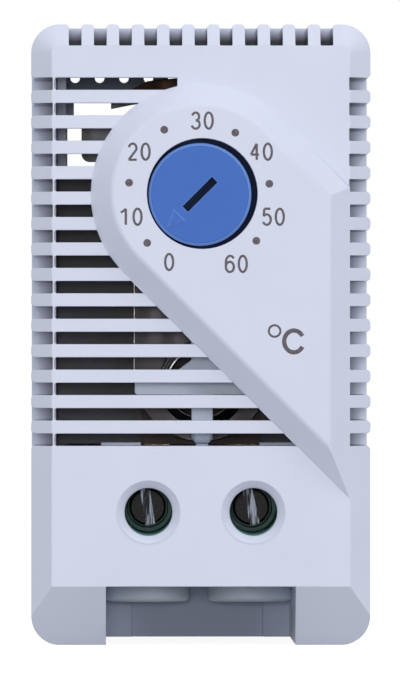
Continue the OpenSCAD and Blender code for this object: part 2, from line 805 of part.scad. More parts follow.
// A round wire swept along a helix round the boss's axis
module lever_spring() {
    turns = 3.5;
    steps = 18 * turns;
    sides = 8;
    wire_r = spring_wire / 2;
    start = lever_back + wire_r + 0.06;
    rise = blade_depth - 0.06 - wire_r - start;
    points = [for (i = [0 : steps], k = [0 : sides - 1])
        let (turn = 360 * turns * i / steps, around = 360 * k / sides,
             r = spring_r + (spring_end_r - spring_r) * i / steps + wire_r * cos(around),
             d = start + rise * i / steps + wire_r * sin(around))
        [mech_x + r * sin(turn), at_depth(d), boss_z + r * cos(turn)]];
    skin = [for (i = [0 : steps - 1], k = [0 : sides - 1])
        let (a = sides * i + k, b = sides * i + (k + 1) % sides)
        each [[a, b, b + sides], [a, b + sides, a + sides]]];
    last_ring = sides * steps;
    color([0.75, 0.75, 0.77])
        polyhedron(points, concat(skin, [[for (k = [sides - 1 : -1 : 0]) k],
                                         [for (k = [0 : sides - 1]) last_ring + k]]));
}

module bimetal_blade() {
    round_z = blade_low + blade_half_w;
    color([0.36, 0.35, 0.37]) difference() {
        slab(blade_depth, blade_back) {
            translate([mech_x, round_z]) circle(blade_half_w);
            translate([mech_x - blade_half_w, round_z]) square([2 * blade_half_w, blade_high - round_z]);
        }
        for (side = [-1, 1])
            bar(mech_x + side * rivet_x, blade_pivot_z, blade_depth - past, blade_back + past,
                rivet_r + 0.08);
        bar(mech_x, contact_z, blade_depth - past, blade_back + past, contact_r / 2);
        bar(mech_x, boss_z, blade_depth - past, blade_back + past, blade_hole_r);
    }
}

module blade_bracket() {
    foot_half_w = 7.2;
    wing_low = bracket_low + 0.9;
    wing_r = 0.8;
    tab_low = bracket_high + 1.2;
    color([0.6, 0.6, 0.62]) difference() {
        union() {
            slab(bracket_front, bracket_front + bracket_t) {
                translate([mech_x - foot_half_w, bracket_low])
                    square([bracket_right - mech_x + foot_half_w, bracket_high - bracket_low]);
                translate([bracket_left, wing_low + wing_r])
                    square([foot_half_w + wing_r, bracket_high - wing_low - wing_r]);
                translate([bracket_left + wing_r, wing_low]) square([foot_half_w, bracket_high - wing_low]);
                translate([bracket_left + wing_r, wing_low + wing_r]) circle(wing_r);
                polygon([[bracket_left + 2.9, tab_low], [bracket_left + 2.9, tab_low + 0.6],
                         [bracket_left + 4.6, tab_low + 1.75], [bracket_left + 6.5, tab_low + 2.75],
                         [bracket_left + 9.3, tab_low + 3.05],
                         [bracket_left + 15.6, tab_low + 3.1], [bracket_left + 15.6, bracket_high - past],
                         [bracket_left + 10.1, bracket_high - past], [bracket_left + 10.1, tab_low + 1.2],
                         [bracket_left + 4.9, tab_low + 0.4]]);
            }
            block(mech_x - foot_half_w, mech_x + foot_half_w, bracket_front, carrier_rail_back,
                  bracket_low, bracket_low + bracket_t);
        }
        for (side = [-1, 1]) {
            bar(mech_x + side * rivet_x, blade_pivot_z, bracket_front - past,
                bracket_front + bracket_t + past, rivet_r + 0.03);
            translate([mech_x + side * bracket_rivet_x, at_depth(bracket_rivet_d), bracket_low - past])
                cylinder(h = bracket_t + 2 * past, r = rivet_r + 0.03);
        }
    }
}

module blade_rivets() {
    head_r = 1.4;
    head_t = 0.6;
    front = blade_depth - seat_gap;
    back = bracket_front + bracket_t;
    color([0.78, 0.7, 0.45]) for (side = [-1, 1]) {
        x = mech_x + side * rivet_x;
        bar(x, blade_pivot_z, front - head_t, front, 0.7 * head_r, head_r);
        bar(x, blade_pivot_z, front - 0.1, back + 0.1, rivet_r);
        bar(x, blade_pivot_z, back, back + head_t, head_r, 0.7 * head_r);
    }
}

module bracket_rivets() {
    head_r = 1.7;
    head_t = 0.7;
    color([0.78, 0.7, 0.45]) for (side = [-1, 1]) {
        seat = bracket_low + bracket_t + (side < 0 ? strip_t : 0);
        translate([mech_x + side * bracket_rivet_x, at_depth(bracket_rivet_d), 0]) {
            translate([0, 0, bracket_low - bracket_rivet_len + 0.2])
                cylinder(h = seat - bracket_low + bracket_rivet_len, r = rivet_r);
            translate([0, 0, seat]) cylinder(h = head_t, r1 = head_r, r2 = 0.7 * head_r);
        }
    }
}

module calibration_screw() {
    tail = carrier_back + calibration_boss + 1;
    color([0.75, 0.66, 0.4]) difference() {
        union() {
            bar(mech_x, calibration_z, calibration_tip, calibration_tip + 0.5, screw_r - 0.5, screw_r);
            bar(mech_x, calibration_z, calibration_tip + 0.5, tail, screw_r);
        }
        block(mech_x - 0.3, mech_x + 0.3, tail - 0.9, tail + past,
              calibration_z - 2 * screw_r, calibration_z + 2 * screw_r);
    }
}

module moving_contact() {
    shank_r = contact_r / 2 - 0.03;
    color([0.83, 0.82, 0.8]) {
        bar(mech_x, contact_z, blade_back, blade_back + contact_t, contact_r);
        bar(mech_x, contact_z, blade_depth, blade_back + 0.1, shank_r);
    }
}

module fixed_contact() {
    color([0.83, 0.82, 0.8]) {
        bar(mech_x, contact_z, fixed_front, board_front, contact_r);
        bar(mech_x, contact_z, board_front - 0.1, carrier_front, fixed_shank_r);
    }
}

module snap_magnet() {
    color([0.3, 0.3, 0.32])
        block(mech_x - magnet_half_w, mech_x + magnet_half_w, magnet_front, board_front,
              magnet_z[0], magnet_z[1]);
}

module contact_board() {
    color([0.25, 0.18, 0.13]) difference() {
        block(mech_x - board_half_w, mech_x + board_half_w, board_front, bus_front,
              shelf_top + seat_gap, board_high);
        for (side = [-1, 1])
            bar(mech_x + side * board_rivet_x, board_rivet_z, board_front - past, carrier_front + past,
                rivet_r + 0.03);
        bar(mech_x, contact_z, board_front - past, carrier_front + past, fixed_shank_r + 0.03);
    }
}

module board_rivets() {
    head_r = 1.6;
    head_t = 0.5;
    color([0.78, 0.7, 0.45]) for (side = [-1, 1]) {
        x = mech_x + side * board_rivet_x;
        bar(x, board_rivet_z, board_front - head_t, board_front, 0.7 * head_r, head_r);
        bar(x, board_rivet_z, board_front - 0.1, carrier_back + 0.1, rivet_r);
        bar(x, board_rivet_z, carrier_back, carrier_back + head_t, head_r, 0.7 * head_r);
    }
}

module bus_strip_left() {
    x0 = -terminal_x - busbar_half_w;
    x1 = -terminal_x + busbar_half_w;
    riser_w = 2.4;
    lap = bracket_low + bracket_t;
    color([0.72, 0.56, 0.36]) difference() {
        union() {
            block(x0, x1, busbar_front, busbar_back, busbar_low, shelf_top);
            block(x1 - riser_w, x1, busbar_front, busbar_back, shelf_top - past, lap + strip_t);
            block(x0, x1, bracket_rivet_d - 2, busbar_back, lap, lap + strip_t);
        }
        translate([mech_x - bracket_rivet_x, at_depth(bracket_rivet_d), lap - past])
            cylinder(h = strip_t + 2 * past, r = rivet_r + 0.03);
    }
}

module bus_strip_right() {
    x0 = terminal_x - busbar_half_w;
    x1 = terminal_x + busbar_half_w;
    color([0.72, 0.56, 0.36]) difference() {
        union() {
            block(mech_x - pad_half_h, lug_x1, bus_front, carrier_front,
                  shelf_top + 0.2, contact_z + pad_half_h);
            block(x0, lug_x1, bus_front, busbar_back, lug_low, lug_high);
            block(x0, x1, busbar_front, busbar_back, busbar_low, lug_high);
        }
        bar(mech_x, contact_z, bus_front - past, carrier_front + past, fixed_shank_r + 0.03);
    }
}

module terminal_block() {
    color([0.13, 0.23, 0.23]) difference() {
        union() {
            block(-block_half_w, block_half_w, block_front, block_back, block_low, block_high);
            for (side = [-1, 1])
                bar(side * terminal_x, screw_z, neck_front, block_front + 0.1, neck_r);
        }
        for (side = [-1, 1]) {
            x = side * terminal_x;
            bar(x, screw_z, neck_front - past, block_front, neck_bore_r);
            bar(x, screw_z, block_front - past, shoulder_front, screw_head_r + 0.2);
            bar(x, screw_z, shoulder_front - past, shoulder_front + shoulder_t + past, screw_r + seat_gap);
            block(x - cage_half_w - move_gap, x + cage_half_w + move_gap,
                  shoulder_front + shoulder_t, block_back + past,
                  screw_z - cage_half_h - move_gap, screw_z + cage_half_h + move_gap);
            block(x - busbar_half_w - move_gap, x + busbar_half_w + move_gap,
                  busbar_front - move_gap, busbar_back + move_gap, busbar_low - move_gap, block_high + past);
            translate([x, at_depth(wire_d), block_low - past])
                cylinder(h = screw_z - cage_half_h - block_low + past, r = wire_hole_r);
        }
    }
}

module terminal_screw(side, lean) {
    x = side * terminal_x;
    edge = 0.2;
    slot_half_w = 0.48;
    color([0.4, 0.41, 0.44]) difference() {
        union() {
            bar(x, screw_z, screw_front, screw_front + edge, screw_head_r - edge, screw_head_r);
            bar(x, screw_z, screw_front + edge, screw_front + screw_head_t, screw_head_r);
            bar(x, screw_z, screw_front + screw_head_t - 0.1, screw_tip, screw_r);
        }
        slab(screw_front - past, screw_front + 0.8)
            translate([x, screw_z]) rotate(lean)
                square([2 * slot_half_w, 3 * screw_head_r], center = true);
    }
}

module clamp_cage(side) {
    x = side * terminal_x;
    color([0.7, 0.66, 0.5]) difference() {
        block(x - cage_half_w, x + cage_half_w, cage_front, cage_rear + cage_rear_t,
              screw_z - cage_half_h, screw_z + cage_half_h);
        block(x - cage_inner_half_w, x + cage_inner_half_w, cage_front + cage_front_t, cage_rear,
              screw_z - cage_half_h - past, screw_z + cage_half_h + past);
        bar(x, screw_z, cage_front - past, cage_front + cage_front_t + past, screw_r + run_gap);
    }
}

module terminal_screw_left() { terminal_screw(-1, screw_lean[0]); }
module terminal_screw_right() { terminal_screw(1, screw_lean[1]); }
module clamp_cage_left() { clamp_cage(-1); }
module clamp_cage_right() { clamp_cage(1); }

front_cover();
rear_base();
dial_knob();
knob_clip();
mechanism_carrier();
carrier_screws();
setting_lever();
lever_spring();
bimetal_blade();
blade_bracket();
blade_rivets();
bracket_rivets();
calibration_screw();
moving_contact();
fixed_contact();
snap_magnet();
contact_board();
board_rivets();
bus_strip_left();
bus_strip_right();
terminal_block();
terminal_screw_left();
terminal_screw_right();
clamp_cage_left();
clamp_cage_right();
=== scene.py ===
"""Looks of a small cabinet thermostat: moulded shells, blue setting knob, marked dial and the metal parts inside."""

import json
import math

import bmesh
import bpy
from mathutils import Matrix, Vector


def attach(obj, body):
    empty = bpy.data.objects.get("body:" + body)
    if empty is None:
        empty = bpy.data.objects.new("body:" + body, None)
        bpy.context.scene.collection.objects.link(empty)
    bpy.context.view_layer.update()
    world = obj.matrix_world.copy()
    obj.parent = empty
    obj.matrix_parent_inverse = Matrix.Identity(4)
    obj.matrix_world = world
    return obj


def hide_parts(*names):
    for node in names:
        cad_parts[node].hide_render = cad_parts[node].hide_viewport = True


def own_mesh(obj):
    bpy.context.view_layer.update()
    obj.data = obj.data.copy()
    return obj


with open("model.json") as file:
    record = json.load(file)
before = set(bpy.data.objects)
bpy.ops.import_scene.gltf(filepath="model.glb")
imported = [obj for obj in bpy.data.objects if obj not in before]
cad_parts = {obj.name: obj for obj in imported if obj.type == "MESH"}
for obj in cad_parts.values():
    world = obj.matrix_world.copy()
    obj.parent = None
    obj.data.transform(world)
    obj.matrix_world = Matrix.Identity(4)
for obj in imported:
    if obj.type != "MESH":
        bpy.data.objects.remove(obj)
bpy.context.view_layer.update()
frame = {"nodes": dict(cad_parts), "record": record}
MM = 0.001

# Sizes are in millimetres: x to the right, y to the back, z up from the foot
FRONT_Y = -19.5
PLATEAU_Y = -21.5

# Patterns: noise cells per metre and their detail, the height of relief in metres, the part of the noise
# that is used, and how far a pattern moves the roughness
FLOW_SCALE, FINE_SCALE, BURN_SCALE, ROLL_SCALE = 160, 5200, 4600, 900
FINE_DETAIL, STREAK_DETAIL = 2.0, 3.0
GRAIN_HEIGHT, BURN_HEIGHT = 0.00002, 0.00003
NOISE_LOW, NOISE_MIDDLE, NOISE_HIGH = 0.3, 0.5, 0.7
PLASTIC_PLAY, METAL_PLAY, TINTED_PLAY = 0.06, 0.08, (0.06, 0.08)
MOULD_RELIEF, ROLL_RELIEF, BURN_RELIEF = 0.10, 0.08, 0.2


def start_finish(name, colour, roughness, metallic=0.0):
    """A shader with Object coordinates ready for its patterns."""
    material = bpy.data.materials.new(name)
    material.use_nodes = True
    tree = material.node_tree
    shader = tree.nodes["Principled BSDF"]
    shader.inputs["Base Color"].default_value = (*colour, 1.0)
    shader.inputs["Roughness"].default_value = roughness
    shader.inputs["Metallic"].default_value = metallic
    place = tree.nodes.new("ShaderNodeTexCoord")
    return material, tree, shader, place.outputs["Object"]


def maths(tree, operation, *values):
    """A sum of one or two values, each a number or the output of another node."""
    node = tree.nodes.new("ShaderNodeMath")
    node.operation = operation
    for socket, value in zip(node.inputs, values):
        if isinstance(value, float):
            socket.default_value = value
        else:
            tree.links.new(value, socket)
    return node.outputs["Value"]


def grain(tree, place, scale, detail=FINE_DETAIL, stretch=None):
    """Noise with its cell size given per metre; stretch makes drawn or rolled streaks."""
    if stretch is not None:
        mapping = tree.nodes.new("ShaderNodeMapping")
        mapping.inputs["Scale"].default_value = stretch
        tree.links.new(place, mapping.inputs["Vector"])
        place = mapping.outputs["Vector"]
    noise = tree.nodes.new("ShaderNodeTexNoise")
    noise.inputs["Scale"].default_value = scale
    noise.inputs["Detail"].default_value = detail
    tree.links.new(place, noise.inputs["Vector"])
    return noise.outputs["Fac"]


def shades(tree, value, low, high, start=NOISE_LOW, end=NOISE_HIGH):
    """Two colours spread over a pattern."""
    ramp = tree.nodes.new("ShaderNodeValToRGB")
    ramp.color_ramp.elements[0].position = start
    ramp.color_ramp.elements[0].color = (*low, 1.0)
    ramp.color_ramp.elements[1].position = end
    ramp.color_ramp.elements[1].color = (*high, 1.0)
    tree.links.new(value, ramp.inputs["Fac"])
    return ramp.outputs["Color"]


def spread(tree, value, low, high):
    """A noise pattern brought into a range of numbers."""
    ranged = tree.nodes.new("ShaderNodeMapRange")
    ranged.inputs["From Min"].default_value = NOISE_LOW
    ranged.inputs["From Max"].default_value = NOISE_HIGH
    ranged.inputs["To Min"].default_value = low
    ranged.inputs["To Max"].default_value = high
    tree.links.new(value, ranged.inputs["Value"])
    return ranged.outputs["Result"]


def fade_along(tree, place, axis, start, end):
    """A number that rises from 0 to 1 between two distances from the middle along an axis."""
    parts = tree.nodes.new("ShaderNodeSeparateXYZ")
    tree.links.new(place, parts.inputs["Vector"])
    fade = tree.nodes.new("ShaderNodeMapRange")
    fade.inputs["From Min"].default_value = start * MM
    fade.inputs["From Max"].default_value = end * MM
    tree.links.new(maths(tree, "ABSOLUTE", parts.outputs[axis]), fade.inputs["Value"])
    return fade.outputs["Result"]


def relief(tree, shader, value, strength, height=GRAIN_HEIGHT):
    """Fine relief on the surface."""
    bump = tree.nodes.new("ShaderNodeBump")
    bump.inputs["Strength"].default_value = strength
    bump.inputs["Distance"].default_value = height
    tree.links.new(value, bump.inputs["Height"])
    tree.links.new(bump.outputs["Normal"], shader.inputs["Normal"])


def tint(colour, factor):
    """A colour made lighter or darker."""
    return tuple(min(1.0, c * factor) for c in colour)


def moulding(name, colour, roughness, variation=0.03, grain_scale=FINE_SCALE, relief_strength=MOULD_RELIEF,
             gloss=0.35):
    """Spark-eroded moulded plastic: a fine grain and faint flow shades."""
    material, tree, shader, place = start_finish(name, colour, roughness)
    shader.inputs["Specular IOR Level"].default_value = gloss
    flow = grain(tree, place, FLOW_SCALE, STREAK_DETAIL)
    fine = grain(tree, place, grain_scale)
    tree.links.new(shades(tree, flow, tint(colour, 1 - variation), tint(colour, 1 + variation)),
                   shader.inputs["Base Color"])
    tree.links.new(spread(tree, fine, roughness - PLASTIC_PLAY, roughness + PLASTIC_PLAY),
                   shader.inputs["Roughness"])
    relief(tree, shader, fine, relief_strength)
    return material


def metal(name, colour, roughness, stretch, variation=0.12, scale=ROLL_SCALE, relief_strength=ROLL_RELIEF,
          blur=0.2):
    """Rolled, drawn or plated metal with streaks along one direction; a small blur makes sharp streaks."""
    material, tree, shader, place = start_finish(name, colour, roughness, 1.0)
    streaks = grain(tree, place, scale, STREAK_DETAIL, stretch)
    tree.links.new(shades(tree, streaks, tint(colour, 1 - variation), tint(colour, 1 + variation),
                          NOISE_MIDDLE - blur, NOISE_MIDDLE + blur), shader.inputs["Base Color"])
    tree.links.new(spread(tree, streaks, roughness - METAL_PLAY, roughness + METAL_PLAY),
                   shader.inputs["Roughness"])
    relief(tree, shader, streaks, relief_strength)
    return material


UPRIGHT_STREAKS = (1, 1, 0.2)
EVEN_GRAIN = (1, 1, 1)


def two_tone_metal(name, low_colour, high_colour, roughness, low_z, high_z):
    """Metal whose colour changes between two heights: a heat tint on the bracket, and on the spring wire painted
    shade below and a painted highlight above.
    """
    material, tree, shader, place = start_finish(name, low_colour, roughness, 1.0)
    fade = fade_along(tree, place, "Z", low_z, high_z)
    tree.links.new(shades(tree, fade, low_colour, high_colour, 0.0, 1.0), shader.inputs["Base Color"])
    rolled = grain(tree, place, ROLL_SCALE, STREAK_DETAIL, UPRIGHT_STREAKS)
    tree.links.new(spread(tree, rolled, roughness - TINTED_PLAY[0], roughness + TINTED_PLAY[1]),
                   shader.inputs["Roughness"])
    relief(tree, shader, rolled, ROLL_RELIEF)
    return material


# Roughness of the moulded plastic that carries painted shade
PAINTED_SHADE_ROUGHNESS = 0.60


def painted_shade_fade(name, colour, axis, floor, rim, floor_tint, rim_tint):
    """Moulded plastic with painted shade, its colour fading from one tint to another between two distances along an
    axis.
    """
    material, tree, shader, place = start_finish(name, colour, PAINTED_SHADE_ROUGHNESS)
    fade = fade_along(tree, place, axis, floor, rim)
    tree.links.new(shades(tree, fade, tint(colour, floor_tint), tint(colour, rim_tint), 0.0, 1.0),
                   shader.inputs["Base Color"])
    relief(tree, shader, grain(tree, place, FINE_SCALE), MOULD_RELIEF)
    return material


BURN_COLOUR, BURN_ROUGHNESS, BURN_DARK, BURN_LIGHT = (0.096, 0.084, 0.098), 0.75, 0.60, 1.60


def laser_mark():
    """Dial marks burnt by laser: grey brown and mottled."""
    material, tree, shader, place = start_finish("laser_mark", BURN_COLOUR, BURN_ROUGHNESS)
    burnt = grain(tree, place, BURN_SCALE)
    tree.links.new(shades(tree, burnt, tint(BURN_COLOUR, BURN_DARK), tint(BURN_COLOUR, BURN_LIGHT)),
                   shader.inputs["Base Color"])
    relief(tree, shader, burnt, BURN_RELIEF, BURN_HEIGHT)
    return material


HOUSING_COLOUR = (0.638, 0.672, 0.815)
ZINC_COLOUR = (0.062, 0.062, 0.067)
finishes = {
    "housing_plastic": moulding("housing_moulding", HOUSING_COLOUR, 0.50, variation=0.015),
    "knob_plastic": moulding("knob_moulding", (0.046, 0.142, 0.500), 0.50, gloss=0.22),
    "black_plastic": moulding("carrier_moulding", (0.045, 0.042, 0.055), 0.55, variation=0.15, gloss=0.5),
    "lever_plastic": moulding("lever_moulding", (0.75, 0.83, 1.00), 0.45, variation=0.02),
    "terminal_plastic": moulding("terminal_moulding", (0.024, 0.125, 0.108), 0.45, variation=0.08),
    "hard_paper": moulding("hard_paper_board", (0.045, 0.028, 0.022), 0.60, variation=0.25,
                           grain_scale=2600, relief_strength=0.2),
    "bimetal": metal("rolled_bimetal", (0.023, 0.021, 0.023), 0.36, (0.4, 1, 0.06)),
    # Painted shade on the spring wire's lower turns and a painted highlight on its upper turns
    "spring_steel": two_tone_metal("spring_wire_painted_shade_and_highlight", (0.035, 0.034, 0.034), (0.42, 0.41, 0.40), 0.30,
                                   low_z=24.6, high_z=26.6),
    "zinc_steel": metal("zinc_plate", ZINC_COLOUR, 0.40, EVEN_GRAIN, variation=0.2, scale=700),
    "screw_steel": metal("dark_screw_steel", (0.034, 0.032, 0.033), 0.50, EVEN_GRAIN, variation=0.6,
                         scale=FINE_SCALE, relief_strength=0.35),
    "brass": metal("stamped_brass", (0.66, 0.50, 0.25), 0.35, (1, 0.2, 1), variation=0.1, scale=700),
    "contact_silver": metal("contact_silver", (0.80, 0.79, 0.77), 0.28, EVEN_GRAIN, variation=0.06, scale=1200),
    "magnet": moulding("sintered_magnet", (0.05, 0.05, 0.055), 0.60, variation=0.3,
                       grain_scale=3000, relief_strength=0.3),
}
# Painted shade in the top grooves: darker towards the groove floor
painted_shade_top_grooves = painted_shade_fade("top_groove_painted_shade", (0.625, 0.665, 0.840), "Z", floor=59.1, rim=60.2,
                        floor_tint=0.12, rim_tint=1.0)
# Painted shade in the side grooves: darker towards their inner ends
painted_shade_side_grooves = painted_shade_fade("side_groove_painted_shade", HOUSING_COLOUR, "X", floor=14.3, rim=16.0,
                         floor_tint=0.40, rim_tint=1.0)
# Painted shade on the front of the rear wall and its ledges, in a bluer housing colour, darkest round its holes,
# which are above its window
painted_shade_rear_wall = painted_shade_fade("rear_wall_painted_shade", (0.638, 0.710, 0.900), "Z", floor=52.6, rim=54.0,
                         floor_tint=0.80, rim_tint=0.36)
# Painted light: the outsides of the wire guides in a lighter housing colour
painted_light_guides = moulding("guide_painted_light", (0.800, 0.875, 1.000), 0.50, variation=0.015)
bracket_steel = two_tone_metal("heat_tinted_strip", ZINC_COLOUR, (0.014, 0.008, 0.006), 0.40,
                               low_z=52.4, high_z=53.6)
# Painted highlights: lighter blue on the rounded edges of the knob's face, pointer and slot, and on its chamfered
# rim
painted_highlight_on_face_edges = moulding("knob_edge_moulding", (0.110, 0.230, 0.600), 0.45, variation=0.05)
painted_highlight_on_rim = moulding("knob_rim_moulding", (0.160, 0.300, 0.700), 0.45, variation=0.05)
# Painted shade: near-black navy inside the knob's driver slot and in the gap round its head
painted_shade_in_slot = moulding("knob_slot_painted_shade", (0.016, 0.032, 0.095), 0.60, variation=0.10, gloss=0.1)
painted_shade_in_gap = moulding("knob_gap_painted_shade", (0.016, 0.030, 0.088), 0.60, variation=0.10, gloss=0.1)
# Painted highlight along the rounded left edge of the blade
painted_highlight_on_blade = metal("blade_edge_painted_highlight", (0.30, 0.29, 0.29), 0.30, (1, 1, 0.05), variation=0.5)
worn_steel = metal("worn_slot_steel", (0.075, 0.083, 0.100), 0.34, (1, 0.3, 0.07), variation=0.95,
                   scale=FINE_SCALE, relief_strength=0.4, blur=0.09)
dial_mark = laser_mark()
node_slot = {row["node"]: row["material_slot"] for row in frame["record"]["subparts"]}
for node, piece in frame["nodes"].items():
    piece.data.materials.clear()
    piece.data.materials.append(finishes[node_slot[node]])


def add_piece(name, bm, materials, body):
    """A visible piece on a body, with its finishes."""
    mesh = bpy.data.meshes.new(name)
    bm.to_mesh(mesh)
    bm.free()
    for material in materials:
        mesh.materials.append(material)
    piece = bpy.data.objects.new(name, mesh)
    bpy.context.scene.collection.objects.link(piece)
    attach(piece, body)
    return piece


def smooth_shading(bm, angle):
    """Smooth faces, with an edge kept where the surface turns sharply."""
    for face in bm.faces:
        face.smooth = True
    for edge in bm.edges:
        edge.smooth = len(edge.link_faces) == 2 and edge.calc_face_angle() < math.radians(angle)


def even_normals(piece):
    """Flat faces stay flat beside their rounded edges."""
    weighted = piece.modifiers.new("even_normals", "WEIGHTED_NORMAL")
    weighted.keep_sharp = True
    weighted.weight = 50


# The cover's hollow: its edges inside these limits are hidden
HOLLOW_FRONT, HOLLOW_HALF_W, HOLLOW_LOW, HOLLOW_HIGH = FRONT_Y + 1, 14.32, 7.3, 58.1


def on_show(node, edge):
    """Whether an edge of a piece can be seen; the cover's inside is left as it is."""
    if node != "front_cover":
        return True
    middle = (edge.verts[0].co + edge.verts[1].co) / 2 / MM
    return (middle.y < HOLLOW_FRONT or abs(middle.x) > HOLLOW_HALF_W
            or middle.z > HOLLOW_HIGH or middle.z < HOLLOW_LOW)


# A face's place in its piece's list of finishes; 0 is the piece's own finish
PLAIN = 0
KNOB_EDGE, KNOB_SLOT, KNOB_RIM, KNOB_GAP = 1, 2, 3, 4
COVER_TOP, COVER_SIDE = 1, 2
BASE_WALL, BASE_GUIDE = 1, 2
BLADE_EDGE = 1
SCREW_WORN = 1
SQUARE_ON = 0.9

KNOB_X, KNOB_Y, KNOB_Z = -0.12, -21.35, 43.82
KNOB_FACE_R, KNOB_RIM_R, KNOB_RIM_DEPTH = 4.5, 4.7, 0.32
DRIVER_HALF_L, DRIVER_HALF_W, DRIVER_FRONT, DRIVER_BACK = 2.1, 0.42, 0.06, 2


def knob_shade(face, on_edge):
    """The knob's driver slot and the gap round it, which get painted shade, and its chamfered rim and the rounded
    edges of its face, which get painted highlights.
    """
    point = face.calc_center_median() / MM
    x, z, depth = point.x - KNOB_X, point.z - KNOB_Z, point.y - KNOB_Y
    along, across = (x + z) / math.sqrt(2), (x - z) / math.sqrt(2)
    radius = min(math.hypot(v.co.x / MM - KNOB_X, v.co.z / MM - KNOB_Z) for v in face.verts)
    if abs(along) < DRIVER_HALF_L and abs(across) < DRIVER_HALF_W and DRIVER_FRONT < depth < DRIVER_BACK:
        return KNOB_SLOT
    if radius > KNOB_RIM_R:
        return KNOB_GAP if depth > KNOB_RIM_DEPTH else KNOB_RIM
    return KNOB_EDGE if on_edge and radius < KNOB_FACE_R else PLAIN


BLADE_LEFT, BLADE_STRAIGHT_LOW = -6.3, 27


def blade_shade(face, on_edge):
    """The blade's left edge above its round end, which gets a painted highlight."""
    point = face.calc_center_median() / MM
    return BLADE_EDGE if on_edge and point.x < BLADE_LEFT and point.z > BLADE_STRAIGHT_LOW else PLAIN


GROOVE_FRONT, GROOVE_BACK = FRONT_Y + 0.9, FRONT_Y + 16.6
TOP_GROOVE_LOW, TOP_GROOVE_HIGH, TOP_GROOVE_HALF_W = 58.1, 60.3, 13.9
SIDE_GROOVE_IN, SIDE_GROOVE_OUT, SIDE_GROOVE_LOW, SIDE_GROOVE_HIGH = 14.3, 16.4, 18, 56


def cover_shade(face, on_edge):
    """The insides of the grooves in the cover's top and sides, which get painted shade."""
    point = face.calc_center_median() / MM
    square = max(abs(c) for c in face.normal) > SQUARE_ON
    if not square or not GROOVE_FRONT < point.y < GROOVE_BACK:
        return PLAIN
    if TOP_GROOVE_LOW < point.z < TOP_GROOVE_HIGH and abs(point.x) < TOP_GROOVE_HALF_W:
        return COVER_TOP
    in_side = SIDE_GROOVE_IN < abs(point.x) < SIDE_GROOVE_OUT and SIDE_GROOVE_LOW < point.z < SIDE_GROOVE_HIGH
    return COVER_SIDE if in_side else PLAIN


GUIDE_X, GUIDE_Y, GUIDE_IN_R, GUIDE_OUT_R, GUIDE_LOW, GUIDE_HIGH = 5.1, 4.96, 3.4, 4.4, 3.7, 5.9
WALL_NEAR, WALL_FAR = 14.3, 15.1


def base_shade(face, on_edge):
    """The front of the rear shell's rear wall with its ledges, which get painted shade, and the outsides of its wire
    guides, which get painted light.
    """
    point = face.calc_center_median() / MM
    if face.normal.y < -SQUARE_ON and WALL_NEAR < point.y < WALL_FAR:
        return BASE_WALL
    radius = math.hypot(abs(point.x) - GUIDE_X, point.y - GUIDE_Y)
    return BASE_GUIDE if GUIDE_IN_R < radius < GUIDE_OUT_R and GUIDE_LOW < point.z < GUIDE_HIGH else PLAIN


SCREW_X, SCREW_Y, SCREW_Z, SCREW_R = 5.1, -4.9, 13.3, 1.7
SLOT_DEPTH, SLOT_SKIN, HEAD_RIM = 0.8, 0.02, 0.1
SIDEWAYS = 0.3


def screw_shade(face, on_edge):
    """What the driver scrapes on a clamp screw: the front edges of its head and the inside of its slot."""
    middle = face.calc_center_median()
    if on_edge and middle.y < (SCREW_Y + HEAD_RIM) * MM:
        return SCREW_WORN
    along = abs(face.normal.y) < SIDEWAYS or middle.y > (SCREW_Y + 0.5 * SLOT_DEPTH) * MM
    in_slot = (SCREW_Y + SLOT_SKIN) * MM < middle.y < (SCREW_Y + SLOT_DEPTH + SLOT_SKIN) * MM
    axis = Vector((math.copysign(SCREW_X, middle.x) * MM, middle.y, SCREW_Z * MM))
    return SCREW_WORN if along and in_slot and (middle - axis).length < SCREW_R * MM else PLAIN


# Points closer than this are one, and angles in degrees at which faces are joined, rounded and creased
SAME_POINT, PLATEAU_SAME_POINT = 0.001, 0.008
FLAT_ANGLE, SHARP_ANGLE, CREASE_ANGLE = 0.3, 28, 40
# The diagonal crosses the middle of the front at this height
DIAGONAL_Z, DIAGONAL_REACH, PLATEAU_FOOT, PLATEAU_RAISED = 43.9, 0.05, 0.1, 0.005


def of_plateau(point):
    """Whether a point is on the plateau; its straight flanks meet its round end on one diagonal through the dial."""
    on_diagonal = abs(point.x - point.z + DIAGONAL_Z) < DIAGONAL_REACH
    return point.y < FRONT_Y - PLATEAU_RAISED or point.y < FRONT_Y + PLATEAU_FOOT and on_diagonal


def merged_copy(node):
    """A CAD node's mesh with its doubles merged and its flat faces joined."""
    bm = bmesh.new()
    bm.from_mesh(frame["nodes"][node].data)
    bmesh.ops.remove_doubles(bm, verts=bm.verts, dist=SAME_POINT * MM)
    if node == "front_cover":
        # In a list without a fixed order, the point that stays would vary from run to run
        last_first = [v for v in reversed(list(bm.verts)) if of_plateau(v.co / MM)]
        bmesh.ops.remove_doubles(bm, verts=last_first, dist=PLATEAU_SAME_POINT * MM)
    flat = [e for e in bm.edges if on_show(node, e)]
    bmesh.ops.dissolve_limit(bm, angle_limit=math.radians(FLAT_ANGLE), verts=bm.verts, edges=flat)
    return bm


def rounded(node, name, body, radius, other_finishes=(), shade=None, small=False):
    """A CAD node with its sharp edges rounded; shade picks the finish of each face.

    On a small piece the rounding is held back where edges lie close together.
    """
    bm = merged_copy(node)
    sharp = [e for e in bm.edges if len(e.link_faces) == 2 and on_show(node, e)
             and e.calc_face_angle() > math.radians(SHARP_ANGLE)]
    made = bmesh.ops.bevel(bm, geom=sharp, offset=radius * MM, offset_type="OFFSET", segments=2,
                           profile=0.5, affect="EDGES", material=-1, clamp_overlap=small,
                           miter_outer="SHARP", loop_slide=not small)
    if shade:
        edges = set(made["faces"])
        for face in bm.faces:
            face.material_index = shade(face, face in edges)
    smooth_shading(bm, CREASE_ANGLE)
    piece = add_piece(name, bm, [finishes[node_slot[node]], *other_finishes], body)
    even_normals(piece)
    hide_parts(node)
    return piece


